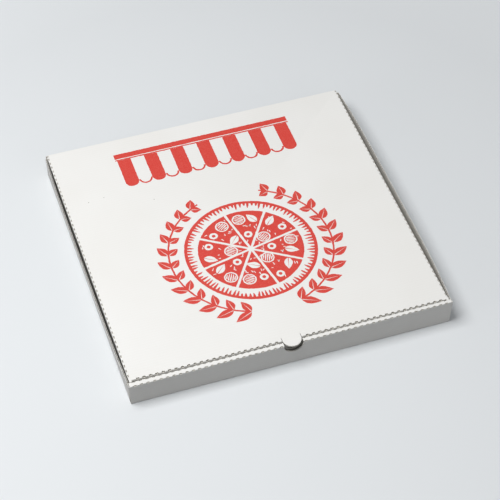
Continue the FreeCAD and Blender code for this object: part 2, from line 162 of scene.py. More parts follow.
table_mesh = bpy.data.meshes.new("table")
table.to_mesh(table_mesh)
table_mesh.materials.append(floor_paint)
table_top = bpy.data.objects.new("table", table_mesh)
table_top.location.z = -FLOOR_DROP * MM
bpy.context.scene.collection.objects.link(table_top)

# Board
# E-flute: a white top liner and a grey inside liner glued to a waved medium that repeats every
# 3.2 mm. The flutes run across the box and up its side walls, and show as faint ridges. The liners
# are drawn a little thicker than their 0.2 mm, so that they show along a cut edge.
FLUTE = 3.2
BOARD = 1.5
LINER = 0.28
RIDGE_HEIGHT = 0.006
GRAIN_SIZE, GRAIN_HEIGHT = 0.9, 0.03
SAG_SIZE, SAG_HEIGHT = 60, 0.6
FIBRE_SPACING = 21
FIBRE_REACH = 0.02
FIBRE_SHARE = 0.1


def board_relief(tree, strength):
    """The liner's surface: faint ridges over the flutes, paper grain and slow waves of the sheet."""
    place = add(tree, "ShaderNodeTexCoord")
    parts = add(tree, "ShaderNodeSeparateXYZ", {"Vector": place.outputs["Object"]})
    facing = add(tree, "ShaderNodeSeparateXYZ", {"Vector": place.outputs["Normal"]})
    steep = add(tree, "ShaderNodeMath", {0: facing.outputs["Y"]}, operation="ABSOLUTE")
    front = add(tree, "ShaderNodeMath", {0: steep.outputs[0], 1: 0.7}, operation="GREATER_THAN")
    along = add(tree, "ShaderNodeMix", {
        0: front.outputs[0],
        2: parts.outputs["Y"],
        3: parts.outputs["Z"],
    })
    phase = add(tree, "ShaderNodeMath", {
        0: along.outputs[0],
        1: 2 * math.pi / (FLUTE * MM),
    }, operation="MULTIPLY")
    ridge = add(tree, "ShaderNodeMath", {0: phase.outputs[0]}, operation="SINE")
    grain = add(tree, "ShaderNodeTexNoise", {
        "Vector": place.outputs["Object"],
        "Scale": 1 / (GRAIN_SIZE * MM),
        "Detail": 3.0,
    })
    sag = add(tree, "ShaderNodeTexNoise", {
        "Vector": place.outputs["Object"],
        "Scale": 1 / (SAG_SIZE * MM),
        "Detail": 1.0,
    })
    ridges = add(tree, "ShaderNodeBump", {
        "Height": ridge.outputs[0],
        "Strength": strength,
        "Distance": RIDGE_HEIGHT * MM,
    })
    paper = add(tree, "ShaderNodeBump", {
        "Height": grain.outputs[0],
        "Strength": strength,
        "Distance": GRAIN_HEIGHT * MM,
        "Normal": ridges.outputs[0],
    })
    waves = add(tree, "ShaderNodeBump", {
        "Height": sag.outputs[0],
        "Strength": strength,
        "Distance": SAG_HEIGHT * MM,
        "Normal": paper.outputs[0],
    })
    return place, ridge, grain, sag, waves


def liner_paper(name, pale, dull, rough):
    """Paper liner, matt, with a little tone from the flutes under it and rare dark fibres."""
    made, tree, shader = new_material(name)
    place, ridge, grain, sag, waves = board_relief(tree, 0.5)
    tone = add(tree, "ShaderNodeMapRange", {
        "Value": sag.outputs[0],
        "From Min": 0.3,
        "From Max": 0.7,
        "To Min": 0.1,
        "To Max": 0.5,
    })
    band = add(tree, "ShaderNodeMath", {
        0: ridge.outputs[0],
        1: 0.1,
        2: tone.outputs[0],
    }, operation="MULTIPLY_ADD")
    sheet = add(tree, "ShaderNodeMix", {
        0: band.outputs[0],
        6: linear(pale),
        7: linear(dull),
    }, data_type="RGBA")
    cells = add(tree, "ShaderNodeTexVoronoi", {
        "Vector": place.outputs["Object"],
        "Scale": 1 / (FIBRE_SPACING * MM),
    })
    near = add(tree, "ShaderNodeMath", {
        0: cells.outputs["Distance"],
        1: FIBRE_REACH,
    }, operation="LESS_THAN")
    draw = add(tree, "ShaderNodeSeparateColor", {"Color": cells.outputs["Color"]})
    rare = add(tree, "ShaderNodeMath", {
        0: draw.outputs["Red"],
        1: 1 - FIBRE_SHARE,
    }, operation="GREATER_THAN")
    speck = add(tree, "ShaderNodeMath", {0: near.outputs[0], 1: rare.outputs[0]}, operation="MULTIPLY")
    fibre = add(tree, "ShaderNodeMix", {
        0: speck.outputs[0],
        6: sheet.outputs[2],
        7: linear("#8B8478"),
    }, data_type="RGBA")
    tree.links.new(fibre.outputs[2], shader.inputs["Base Color"])
    shine = add(tree, "ShaderNodeMapRange", {
        "Value": grain.outputs[0],
        "To Min": rough - 0.08,
        "To Max": rough + 0.08,
    })
    tree.links.new(shine.outputs[0], shader.inputs["Roughness"])
    tree.links.new(waves.outputs[0], shader.inputs["Normal"])
    return made


# Bleached kraft liner, calendered: a near white matt sheet
outer_liner = liner_paper("white_top_liner", "#F3F2EF", "#EDEBE6", 0.6)
# Recycled liner, uncoated: a rougher warm grey
inner_liner = liner_paper("grey_recycled_inside_liner", "#A3A09A", "#97938C", 0.8)

# Board cut by a steel rule: torn fibres of the liners and the medium, mottled pale and grey
cut_board, cut_tree, cut_shader = new_material("cut_board_edge")
cut_place = add(cut_tree, "ShaderNodeTexCoord")
cut_grain = add(cut_tree, "ShaderNodeTexNoise", {
    "Vector": cut_place.outputs["Object"],
    "Scale": 1 / (0.6 * MM),
    "Detail": 4.0,
})
cut_mix = add(cut_tree, "ShaderNodeMix", {
    0: cut_grain.outputs[0],
    6: linear("#B4B0A8"),
    7: linear("#E2DFD8"),
}, data_type="RGBA")
cut_tree.links.new(cut_mix.outputs[2], cut_shader.inputs["Base Color"])
cut_shader.inputs["Roughness"].default_value = 0.9
cut_bump = add(cut_tree, "ShaderNodeBump", {
    "Height": cut_grain.outputs[0],
    "Strength": 0.6,
    "Distance": 0.1 * MM,
})
cut_tree.links.new(cut_bump.outputs[0], cut_shader.inputs["Normal"])
BOARD_FACES = (outer_liner, inner_liner, cut_board)
OUTER, INNER, CUT = range(3)
SHARP = math.radians(35)


def object_from(bm, name, materials, smooth=True):
    """An object made from a mesh, with its materials in order."""
    mesh = bpy.data.meshes.new(name)
    bm.to_mesh(mesh)
    bm.free()
    for paint in materials:
        mesh.materials.append(paint)
    if smooth:
        mesh.shade_smooth()
        mesh.set_sharp_from_angle(angle=SHARP)
    thing = bpy.data.objects.new(name, mesh)
    bpy.context.scene.collection.objects.link(thing)
    return thing


def with_modifier(bm, kind, tool=None, **settings):
    """The mesh after one modifier, with the board's three materials in place."""
    thing = object_from(bm, "work", BOARD_FACES, smooth=False)
    change = thing.modifiers.new("change", kind)
    for name, value in settings.items():
        setattr(change, name, value)
    if tool:
        change.object = tool
    ready = bmesh.new()
    ready.from_object(thing, bpy.context.evaluated_depsgraph_get())
    bpy.data.objects.remove(thing)
    if tool:
        bpy.data.objects.remove(tool)
    return ready


def thicken(bm):
    """The sheet's outer face given the board's thickness inwards."""
    return with_modifier(bm, "SOLIDIFY", thickness=BOARD, offset=-1, use_even_offset=True,
                         use_quality_normals=True, material_offset=INNER, material_offset_rim=CUT)


def combine(bm, cutter, operation="DIFFERENCE"):
    """The mesh with the other one cut from it or joined to it."""
    if operation == "DIFFERENCE":
        for face in cutter.faces:
            face.material_index = CUT
    tool = object_from(cutter, "tool", BOARD_FACES, smooth=False)
    return with_modifier(bm, "BOOLEAN", tool=tool, operation=operation, solver="EXACT")


def place_piece(bm, name, body, materials=BOARD_FACES):
    """The finished mesh in metres, riding on its body."""
    bmesh.ops.scale(bm, vec=(MM, MM, MM), verts=bm.verts)
    thing = object_from(bm, name, materials)
    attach(thing, body)
    return thing


# Folds
# Board is creased, then bent by hand. Where it is perforated, a rule cuts it through for a little
# over half of every 6.35 mm; bent, each cut gapes into a half moon between two bridges of board.
# A strip is counted in columns, ten to a repeat, and each cut reaches three columns to both sides.
PITCH = 6.35
STEPS = 10
HALF_CUT = 3
COLUMN = PITCH / STEPS
RING = 0.8
TURN = math.radians(90)
TURN_STEPS = 4
SAME = 1e-3
SAME_TURN = 0.01
CORNER_POWER = 5


def folded_edge(length, folds, columns=None, ring=RING):
    """A strip along X: a narrow ring of the panel, then folds over its far side, each 90 degrees down.

    Each fold is (radius, runs of flat sheet after it, cut centres counted in columns, and the cuts'
    place on the fold with how far they gape above and below it, as shares of the turn).
    """
    columns = columns or round(length / COLUMN)
    bm = bmesh.new()
    bmesh.ops.create_grid(bm, x_segments=columns, y_segments=1, size=0.5)
    bmesh.ops.scale(bm, vec=(length, ring, 1), verts=bm.verts)
    bmesh.ops.translate(bm, vec=(0, -ring / 2, 0), verts=bm.verts)
    edge = [side for side in bm.edges if all(corner.co.y > -SAME for corner in side.verts)]
    spot = Vector((0, 0, 0))
    heading = Vector((0, 1, 0))
    for radius, runs, cuts, opening in folds:
        turned = Matrix.Rotation(-TURN, 3, "X") @ heading
        centre = spot + turned * radius
        spun = bmesh.ops.spin(bm, geom=edge, cent=centre, axis=(1, 0, 0), angle=-TURN, steps=TURN_STEPS)
        edge = [item for item in spun["geom_last"] if isinstance(item, bmesh.types.BMEdge)]
        if cuts:
            gape(bm, centre, -turned, heading, radius, length, columns, cuts, opening)
        spot = centre + heading * radius
        heading = turned
        for run in runs:
            grown = bmesh.ops.extrude_edge_only(bm, edges=edge)["geom"]
            moved = [item for item in grown if isinstance(item, bmesh.types.BMVert)]
            bmesh.ops.translate(bm, vec=heading * run, verts=moved)
            edge = [item for item in grown if isinstance(item, bmesh.types.BMEdge)
                    and all((corner.co - spot).dot(heading) > run - SAME for corner in item.verts)]
            spot = spot + heading * run
    return bm


def gape(bm, centre, start, heading, radius, length, columns, cuts, opening):
    """Slits along a fold, each opened into a lens as the fold draws its two sides apart."""
    share, above, below = opening
    slit_turn = share * TURN

    def turn_of(place):
        arm = place - centre
        return math.atan2(arm.dot(heading), arm.dot(start))

    def column_of(place):
        return (place.x / length + 0.5) * columns

    for middle in cuts:
        bent = [v for v in bm.verts if abs(column_of(v.co) - middle) < HALF_CUT + 0.1
                and abs(math.hypot((v.co - centre).y, (v.co - centre).z) - radius) < SAME
                and -SAME_TURN < turn_of(v.co) < TURN + SAME_TURN]
        crease = [v for v in bent if abs(turn_of(v.co) - slit_turn) < SAME_TURN]
        around = dict.fromkeys(e for v in crease for e in v.link_edges)
        slit = [e for e in around if all(v in crease for v in e.verts)]
        fresh = bmesh.ops.split_edges(bm, edges=slit)["edges"]
        lips = [v for e in fresh for v in e.verts]
        for v in dict.fromkeys(lips + [v for v in bent if v.is_valid]):
            reach = abs(column_of(v.co) - middle) / HALF_CUT
            if reach > 0.99:
                continue
            lens = math.sqrt(1 - reach ** 2)
            turn = turn_of(v.co)
            if min(abs(turn), abs(turn - TURN)) < SAME_TURN:
                continue
            side = sum(turn_of(f.calc_center_median()) for f in v.link_faces) / len(v.link_faces)
            if side < slit_turn:
                turn = turn * (1 - above * lens)
            else:
                turn = TURN - (TURN - turn) * (1 - below * lens)
            arm = start * math.cos(turn) + heading * math.sin(turn)
            v.co = centre + Vector((v.co.x, 0, 0)) + arm * radius


def crush_corner(bm, place, out, radius, rise=1):
    """Presses the outer skin of a fold out toward its corner, as a creased board bends."""
    for v in bm.verts:
        arm = v.co - Vector(place)
        across, up = arm.dot(Vector(out)) / radius, arm.z * rise / radius
        if min(across, up) > -SAME and abs(math.hypot(across, up) - 1) < 0.01:
            stretch = (abs(across) ** CORNER_POWER + abs(up) ** CORNER_POWER) ** (-1 / CORNER_POWER)
            v.co += (Vector(out) * across + Vector((0, 0, up * rise))) * radius * (stretch - 1)


def crease_core(bm, start, end, radius):
    """The crushed flutes and inner liner that show at the bottom of each gaping cut."""
    start, end = Vector(start), Vector(end)
    turn = (end - start).to_track_quat("Z", "Y").to_matrix().to_4x4()
    middle = Matrix.Translation((start + end) / 2)
    made = bmesh.ops.create_cone(bm, cap_ends=True, segments=16, radius1=radius, radius2=radius,
                                 depth=(end - start).length, matrix=middle @ turn)
    for face in set(f for v in made["verts"] for f in v.link_faces):
        face.material_index = CUT


def join(bm, part, matrix=Matrix.Identity(4)):
    """Adds another mesh, moved into place."""
    bmesh.ops.transform(part, matrix=matrix, verts=part.verts)
    carrier = bpy.data.meshes.new("carrier")
    part.to_mesh(carrier)
    part.free()
    bm.from_mesh(carrier)
    bpy.data.meshes.remove(carrier)


def outline_edges(bm, places):
    """The edges of a path through these places: the sheet's own where it has them, else new ones."""
    path = []
    for place in places:
        spot = Vector(place)
        found = next((v for v in bm.verts if (v.co - spot).length < 0.02), None)
        path.append(found or bmesh.ops.create_vert(bm, co=spot)["vert"][0])
    for first, second in zip(path, path[1:]):
        if not bm.edges.get((first, second)):
            bmesh.ops.contextual_create(bm, geom=[first, second])


def fill_panel(bm, height):
    """One flat face inside the ring that the folded strips leave open."""
    rims = [e for e in bm.edges
            if len(e.link_faces) < 2 and all(abs(v.co.z - height) < SAME for v in e.verts)]
    rims = [e for e in rims if all(sum(v in other.verts for other in rims) > 1 for v in e.verts)]
    bmesh.ops.contextual_create(bm, geom=rims)
    bmesh.ops.recalc_face_normals(bm, faces=bm.faces)
    biggest = max(bm.faces, key=lambda face: face.calc_area())
    if biggest.normal.z < 0:
        bmesh.ops.reverse_faces(bm, faces=bm.faces)


def cut_centres(columns, margin=3):
    """Middles of the cuts, one for each repeat, counted in columns from the strip's end."""
    count = (columns - 2 * margin) // STEPS + 1
    first = (columns - (count - 1) * STEPS) // 2
    return [first + STEPS * number for number in range(count)]


# Lid
# The same sheet past the back crease: top panel, a perforated fold along three sides, the tuck flap
# at the front and a flap down each side. The half round thumb tab is cut out of the tuck flap and
# stays flat, with a short slit at each root.
lid_low, lid_high = (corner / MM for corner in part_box("lid"))
LID_TOP = lid_high.z
LID_HALF = lid_high.x
CRUSH = 1.7
FIRST_RUN = 1
LID_FRONT = 159.6
HINGE_Y = lid_high.y - BOARD / 2
TUCK_INSET = 2.6
TUCK_DEPTH = LID_TOP - lid_low.z
TUCK_MARGIN = 6
TUCK_GAPE = (0.5, 0.78, 0.78)
FLAP_FRONT = -LID_FRONT + 2.6
FLAP_BACK = HINGE_Y - 3.2
FLAP_DEPTH = 22
SIDE_GAPE = (0.25, 0.9, 0.3)
SIDE_CORE = 0.5
EAR_FRONT = {-1: -LID_FRONT - 1.9, 1: -LID_FRONT - 1.3}
EAR_SIDE = LID_HALF - 0.1
EAR_GAP = 0.15
THUMB_RADIUS = 10.1
THUMB_DEPTH = 11.4
THUMB_CENTRE = LID_TOP - THUMB_DEPTH + THUMB_RADIUS
TAB_RADIUS = 9.5
TAB_TIP = lid_low.y
SLIT_REACH = 2.7

flap_length = FLAP_BACK - FLAP_FRONT
flap_columns = round(flap_length / COLUMN)
tuck_length = 2 * (LID_HALF - TUCK_INSET)
tuck_columns = round(tuck_length / COLUMN)
FLAT = LID_HALF - CRUSH
lid = bmesh.new()
for side in (-1, 1):
    runs = (FIRST_RUN, FLAP_DEPTH - CRUSH - FIRST_RUN)
    strip = folded_edge(flap_length, [(CRUSH, runs, cut_centres(flap_columns), SIDE_GAPE)])
    middle = Matrix.Translation((side * FLAT, (FLAP_FRONT + FLAP_BACK) / 2, LID_TOP))
    join(lid, strip, middle @ Matrix.Rotation(-side * TURN, 4, "Z"))
beside_tab = [centre for centre in cut_centres(tuck_columns, TUCK_MARGIN)
              if abs(centre - tuck_columns / 2) * COLUMN > THUMB_RADIUS + PITCH / 3]
runs = (FIRST_RUN, TUCK_DEPTH - CRUSH - FIRST_RUN)
strip = folded_edge(tuck_length, [(CRUSH, runs, beside_tab, TUCK_GAPE)])
join(lid, strip, Matrix.Translation((0, -LID_FRONT + CRUSH, LID_TOP)) @ Matrix.Rotation(2 * TURN, 4, "Z"))
for side in (-1, 1):
    outline_edges(lid, [
        (side * FLAT, FLAP_FRONT, LID_TOP),
        (side * EAR_SIDE, FLAP_FRONT - EAR_GAP, LID_TOP),
        (side * EAR_SIDE, EAR_FRONT[side], LID_TOP),
        (side * (LID_HALF - TUCK_INSET + EAR_GAP), EAR_FRONT[side], LID_TOP),
        (side * (LID_HALF - TUCK_INSET), -LID_FRONT + CRUSH, LID_TOP),
    ])
outline_edges(lid, [
    (-FLAT, FLAP_BACK, LID_TOP),
    (-FLAT, HINGE_Y, LID_TOP),
    (FLAT, HINGE_Y, LID_TOP),
    (FLAT, FLAP_BACK, LID_TOP),
])
fill_panel(lid, LID_TOP)
lid = thicken(lid)
FOLD_Z = LID_TOP - CRUSH
crush_corner(lid, (0, -LID_FRONT + CRUSH, FOLD_Z), (0, -1, 0), CRUSH)
for side in (-1, 1):
    crush_corner(lid, (side * FLAT, 0, FOLD_Z), (side, 0, 0), CRUSH)

# The thumb tab's gap in the tuck flap, then the tab itself, joined to the panel behind the fold
gap = bmesh.new()
bmesh.ops.create_cone(gap, cap_ends=True, segments=72, radius1=THUMB_RADIUS, radius2=THUMB_RADIUS,
                      depth=2 * (CRUSH + SLIT_REACH))
forward = Matrix.Translation((0, -LID_FRONT, THUMB_CENTRE)) @ Matrix.Rotation(TURN, 4, "X")
bmesh.ops.transform(gap, matrix=forward, verts=gap.verts)
lid = combine(lid, gap)
tab = bmesh.new()
bmesh.ops.create_circle(tab, cap_ends=True, segments=96, radius=TAB_RADIUS)
tab_centre = TAB_TIP + TAB_RADIUS
bmesh.ops.translate(tab, vec=(0, tab_centre, LID_TOP), verts=tab.verts)
bmesh.ops.bisect_plane(tab, geom=tab.verts[:] + tab.edges[:] + tab.faces[:], dist=1e-4,
                       plane_co=(0, tab_centre, 0), plane_no=(0, 1, 0), clear_outer=True)
root = [e for e in tab.edges if all(abs(v.co.y - tab_centre) < SAME for v in e.verts)]
grown = bmesh.ops.extrude_edge_only(tab, edges=root)["geom"]
root_line = -LID_FRONT + 2 * CRUSH + SLIT_REACH
bmesh.ops.translate(tab, vec=(0, root_line - tab_centre, 0),
                    verts=[v for v in grown if isinstance(v, bmesh.types.BMVert)])
bmesh.ops.recalc_face_normals(tab, faces=tab.faces)
if tab.faces[:][0].normal.z < 0:
    bmesh.ops.reverse_faces(tab, faces=tab.faces)
lid = combine(lid, thicken(tab), "UNION")

# The back edge is rounded about the hinge line, and the flaps lean in and taper to their lower edge
back_edges = [e for e in lid.edges if all(abs(v.co.y - HINGE_Y) < SAME for v in e.verts)
              and abs(e.verts[0].co.z - e.verts[1].co.z) < SAME]
bmesh.ops.bevel(lid, geom=back_edges, offset=BOARD / 2 - 0.01, segments=5, profile=0.5,
                affect="EDGES", material=-1)
FLAP_LEAN = 1.9
FLAP_TAPER = 5
FLAP_BAND = 0.3
middle_y = (FLAP_FRONT + FLAP_BACK) / 2
for v in lid.verts:
    drop = LID_TOP - BOARD - v.co.z
    if drop <= 0.2:
        continue
    if v.co.y < -LID_FRONT + CRUSH + FLAP_BAND:
        v.co.y += FLAP_LEAN * drop / TUCK_DEPTH
    elif abs(v.co.x) > FLAT - FLAP_BAND:
        v.co.x -= math.copysign(FLAP_LEAN * drop / FLAP_DEPTH, v.co.x)
        v.co.y = middle_y + (v.co.y - middle_y) * (1 - FLAP_TAPER * drop / FLAP_DEPTH * 2 / flap_length)
CORE_INSET = 3
for side in (-1, 1):
    crease_core(lid, (side * FLAT, FLAP_FRONT + CORE_INSET, FOLD_Z),
                (side * FLAT, FLAP_BACK - CORE_INSET, FOLD_Z), SIDE_CORE)
lid_sheet = place_piece(lid, "lid_sheet", "lid")
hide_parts("lid")

# Tray
# Floor, back wall and two side walls, whose ends turn in as tabs behind the front and the back.
# The front wall rolls over the front tabs: up, across the narrow strip, down inside, and two
# tongues lock it in slots in the floor. The side walls' upper edges are cut, so their flutes show.
HALF = 165
BEND = 1.9
FLAT_HALF = HALF - BEND
FRONT_HALF = HALF - 0.1
WALL_FOOT = 2.4
CREST = 29.5
SIDE_CREST = 28.4
ROLLOVER = 4.8
CREASE_MARGIN = 8
OUTER_GAPE = (0.5, 0.5, 0.5)
INNER_GAPE = (0.5, 0.6, 0.6)
OUTER_CORE = 0.95
WALL_RUN = 160
WALL_COLUMNS = 64
TAB_LOW = 3
TAB_HIGH = 26.7
FRONT_TAB = 64
BACK_TAB = 48
BACK_CREST = LID_TOP - BOARD - 0.3
FLOOR_GAP = 0.2
PANEL_FOOT = BOARD + FLOOR_GAP
TAB_GAP = 0.15


def corner_tab(bm, end, reach):
    """The end of a side wall turned round the corner and run along behind the next wall."""
    edge = [e for e in bm.edges if len(e.link_faces) == 1 and all(
        abs(v.co.x - end * WALL_RUN) < SAME and -TAB_HIGH - SAME < v.co.z < -TAB_LOW + SAME
        for v in e.verts)]
    straight = HALF - BOARD - TAB_GAP - BEND - WALL_RUN
    for step, run in ((Vector((end, 0, 0)), straight), (Vector((0, -1, 0)), reach - BEND)):
        grown = bmesh.ops.extrude_edge_only(bm, edges=edge)["geom"]
        moved = [v for v in grown if isinstance(v, bmesh.types.BMVert)]
        bmesh.ops.translate(bm, vec=step * run, verts=moved)
        edge = [e for e in grown if isinstance(e, bmesh.types.BMEdge) and all(v in moved for v in e.verts)]
        if step.x:
            spun = bmesh.ops.spin(bm, geom=edge, cent=(end * (WALL_RUN + straight), 0, 0), axis=(0, 0, 1),
                                  angle=-end * TURN, steps=TURN_STEPS)
            edge = [item for item in spun["geom_last"] if isinstance(item, bmesh.types.BMEdge)]


tray = bmesh.new()
front_columns = round(2 * FRONT_HALF / COLUMN)
creases = cut_centres(front_columns, CREASE_MARGIN)
wall_runs = (WALL_FOOT - BEND, CREST - CRUSH - WALL_FOOT - FIRST_RUN, FIRST_RUN)
inner_runs = (FIRST_RUN, CREST - CRUSH - PANEL_FOOT - FIRST_RUN)
back_runs = (FIRST_RUN, BACK_CREST - BEND - FIRST_RUN)
side_runs = (WALL_FOOT - BEND, TAB_LOW - WALL_FOOT, TAB_HIGH - TAB_LOW, SIDE_CREST - TAB_HIGH)
join(tray, folded_edge(2 * FRONT_HALF, [
    (BEND, wall_runs, [], None),
    (CRUSH, (ROLLOVER - 2 * CRUSH,), creases, OUTER_GAPE),
    (CRUSH, inner_runs, creases, INNER_GAPE),
]), Matrix.Translation((0, FLAT_HALF, 0)))
join(tray, folded_edge(2 * FRONT_HALF, [(BEND, back_runs, [], None)], columns=WALL_COLUMNS),
     Matrix.Translation((0, -FLAT_HALF, 0)) @ Matrix.Rotation(2 * TURN, 4, "Z"))
for side in (-1, 1):
    strip = folded_edge(2 * WALL_RUN, [(BEND, side_runs, [], None)], columns=WALL_COLUMNS)
    for end in (-1, 1):
        corner_tab(strip, end, BACK_TAB if end == side else FRONT_TAB)
    join(tray, strip, Matrix.Translation((side * FLAT_HALF, 0, 0)) @ Matrix.Rotation(-side * TURN, 4, "Z"))
    for end in (-1, 1):
        outline_edges(tray, [
            (side * FLAT_HALF, end * WALL_RUN, 0),
            (side * FRONT_HALF, end * (WALL_RUN + 0.5), 0),
            (side * FRONT_HALF, end * (FLAT_HALF - RING), 0),
        ])
fill_panel(tray, 0)
tray = thicken(tray)
bmesh.ops.rotate(tray, cent=(0, 0, 0), matrix=Matrix.Rotation(2 * TURN, 3, "X"), verts=tray.verts)
OUTER_FOLD, INNER_FOLD = -HALF + CRUSH, -HALF + ROLLOVER - CRUSH
crush_corner(tray, (0, OUTER_FOLD, CREST - CRUSH), (0, -1, 0), CRUSH)
crush_corner(tray, (0, INNER_FOLD, CREST - CRUSH), (0, 1, 0), CRUSH)
for out in ((0, -1, 0), (0, 1, 0), (-1, 0, 0), (1, 0, 0)):
    crush_corner(tray, Vector(out) * FLAT_HALF + Vector((0, 0, BEND)), out, BEND, rise=-1)
# The inner panel is cut a little narrower than the front wall, to drop between the side walls
PANEL_HALF = FLAT_HALF + 0.1
for v in tray.verts:
    inside = INNER_FOLD < v.co.y < -WALL_RUN and 2 < v.co.z < CREST - CRUSH - 0.1
    if inside and abs(v.co.x) > PANEL_HALF:
        v.co.x = math.copysign(PANEL_HALF, v.co.x)

# Thumb notch through the front wall's layers, and the tongues' slots in the floor
TONGUE = 28
TONGUE_PLACE = 92
TONGUE_Y = -HALF + ROLLOVER - BOARD / 2
SLOT_PLAY = 0.4
SLOT_CUT = 2.4
SLOT_MIDDLE = 0.5
NOTCH_REACH = 16
notch = bmesh.new()
bmesh.ops.create_cone(notch, cap_ends=True, segments=72, radius1=THUMB_RADIUS, radius2=THUMB_RADIUS,
                      depth=NOTCH_REACH)
forward = Matrix.Translation((0, -HALF, THUMB_CENTRE)) @ Matrix.Rotation(TURN, 4, "X")
bmesh.ops.transform(notch, matrix=forward, verts=notch.verts)
for side in (-1, 1):
    size = Matrix.Diagonal((TONGUE + SLOT_PLAY, BOARD + SLOT_PLAY, SLOT_CUT, 1))
    slot = bmesh.ops.create_cube(notch, size=1, matrix=size)["verts"]
    bmesh.ops.translate(notch, vec=(side * TONGUE_PLACE, TONGUE_Y, SLOT_MIDDLE), verts=slot)
tray = combine(tray, notch)
for side in (-1, 1):
    crease_core(tray, (side * (THUMB_RADIUS + 1), OUTER_FOLD, CREST - CRUSH),
                (side * (FLAT_HALF - 1), OUTER_FOLD, CREST - CRUSH), OUTER_CORE)
    size = Matrix.Diagonal((TONGUE, BOARD, PANEL_FOOT - FLOOR_GAP, 1))
    tongue = bmesh.ops.create_cube(tray, size=1, matrix=size)["verts"]
    bmesh.ops.translate(tray, vec=(side * TONGUE_PLACE, TONGUE_Y, (PANEL_FOOT + FLOOR_GAP) / 2),
                        verts=tongue)

# The side walls' cut edges are opened between their two liners, and the outer liner's rim is white
MOUTH_DEPTH = 2.4
top_faces = [f for f in tray.faces if f.normal.z > 0.9 and abs(f.calc_center_median().x) > HALF - BOARD
             and f.calc_center_median().z > SIDE_CREST - 0.1]
rims = bmesh.ops.inset_region(tray, faces=top_faces, thickness=LINER, use_even_offset=True)["faces"]
for face in rims:
    if abs(face.calc_center_median().x) > HALF - BOARD / 2:
        face.material_index = OUTER
opened = bmesh.ops.extrude_face_region(tray, geom=top_faces)["geom"]
bmesh.ops.delete(tray, geom=top_faces, context="FACES")
bmesh.ops.translate(tray, vec=(0, 0, -MOUTH_DEPTH),
                    verts=[v for v in opened if isinstance(v, bmesh.types.BMVert)])

# How the closed box stands: the lid's flaps push the side walls out, most of all half way along, and
# the front wall leans out and rises from its left end to its right. A bow is how far out the wall's
# crest stands at its ends and half way along; a front is how far it leans out, and its crest's height.
LEFT_BOW, RIGHT_BOW = (1.4, 3.4), (1.2, 4.7)
LEFT_FRONT, RIGHT_FRONT = (2.0, 28.3), (0.8, 30.2)
BOW_POWER = 4
END_POWER = 6


def settle(bm):
    """Leans and bows the upright walls to where they stand in the closed box."""
    for v in bm.verts:
        x, y, z = v.co
        if z <= WALL_FOOT:
            continue
        end, middle = LEFT_BOW if x < 0 else RIGHT_BOW
        between = abs(x) > HALF - 4 and abs(y) < HALF - ROLLOVER + 0.1
        if between or abs(x) > FRONT_HALF and abs(y) < HALF - 1:
            climb = (z - WALL_FOOT) / (SIDE_CREST - WALL_FOOT)
            out = end + (middle - end) * (1 - min(abs(y) / WALL_RUN, 1) ** BOW_POWER)
            hold = min((abs(x) - HALF + 4) / 2, 1)
            v.co.x += math.copysign(out * climb * hold, x)
        if y < -HALF + ROLLOVER + 0.1 and (abs(x) < FRONT_HALF + 0.01 or y < -WALL_RUN - 1.6):
            share = min(max(x / FLAT_HALF, -1), 1) / 2 + 0.5
            lean, crest = (a + (b - a) * share for a, b in zip(LEFT_FRONT, RIGHT_FRONT))
            climb = (z - WALL_FOOT) / (CREST - WALL_FOOT)
            across = min(max((y + HALF) / ROLLOVER, 0), 1)
            v.co.y -= lean * climb
            v.co.z += (crest - CREST) * climb * (1 - across)
            v.co.x += math.copysign(end * climb * min(abs(x) / HALF, 1) ** END_POWER, x)


# Two burs of torn liner stand on the right wall's cut edge
BURS = (10, -134)
BUR_LIFT = 0.3
for place in BURS:
    spot = Matrix.Translation((HALF - BUR_LIFT, place, SIDE_CREST + BUR_LIFT))
    bmesh.ops.create_cone(tray, cap_ends=True, segments=8, radius1=0.8, radius2=0.25, depth=0.9,
                          matrix=spot @ Matrix.Diagonal((0.35, 1.3, 1, 1)))
settle(tray)
tray_sheet = place_piece(tray, "tray_sheet", "tray")
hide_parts("tray")

# Flutes
# The waved medium between the liners, open to view along the side walls' cut edges. It is grey
# recycled paper, coloured darker than such paper to paint the shade between the flutes; its wave is
# the board's own, and a ribbon of it stands in each wall's groove.
MEDIUM = 0.3
WAVE = (BOARD - 2 * LINER - MEDIUM) / 2
WAVE_COUNT = round(2 * WALL_RUN / FLUTE)
WAVE_STEPS = 8
RIBBON_INSET = 0.1
medium, medium_tree, medium_shader = new_material("grey_fluting_paper_and_painted_shade")
medium_place = add(medium_tree, "ShaderNodeTexCoord")
medium_grain = add(medium_tree, "ShaderNodeTexNoise", {
    "Vector": medium_place.outputs["Object"],
    "Scale": 1 / (1.5 * MM),
    "Detail": 3.0,
})
# Grey paper in two tones, both darkened to paint the shade in the flute holes
medium_tone_and_painted_shade = add(medium_tree, "ShaderNodeMix", {
    0: medium_grain.outputs[0],
    6: linear("#625D54"),
    7: linear("#7E786D"),
}, data_type="RGBA")
medium_tree.links.new(medium_tone_and_painted_shade.outputs[2], medium_shader.inputs["Base Color"])
medium_shader.inputs["Roughness"].default_value = 0.85
flutes = bmesh.new()
for side in (-1, 1):
    ribbon = bmesh.new()
    bmesh.ops.create_grid(ribbon, x_segments=WAVE_COUNT * WAVE_STEPS, y_segments=1, size=0.5)
    bmesh.ops.scale(ribbon, vec=(2 * WALL_RUN - 1, MOUTH_DEPTH - RIBBON_INSET, 1), verts=ribbon.verts)
    for v in ribbon.verts:
        v.co = Vector((WAVE * math.sin(2 * math.pi * v.co.x / FLUTE), v.co.x, v.co.y))
    centre = (side * (HALF - BOARD / 2), 0, SIDE_CREST - (MOUTH_DEPTH + RIBBON_INSET) / 2)
    join(flutes, ribbon, Matrix.Translation(centre))
flutes = with_modifier(flutes, "SOLIDIFY", thickness=MEDIUM, offset=0, material_offset_rim=1)
settle(flutes)
place_piece(flutes, "side_wall_flutes", "tray", (medium, cut_board))

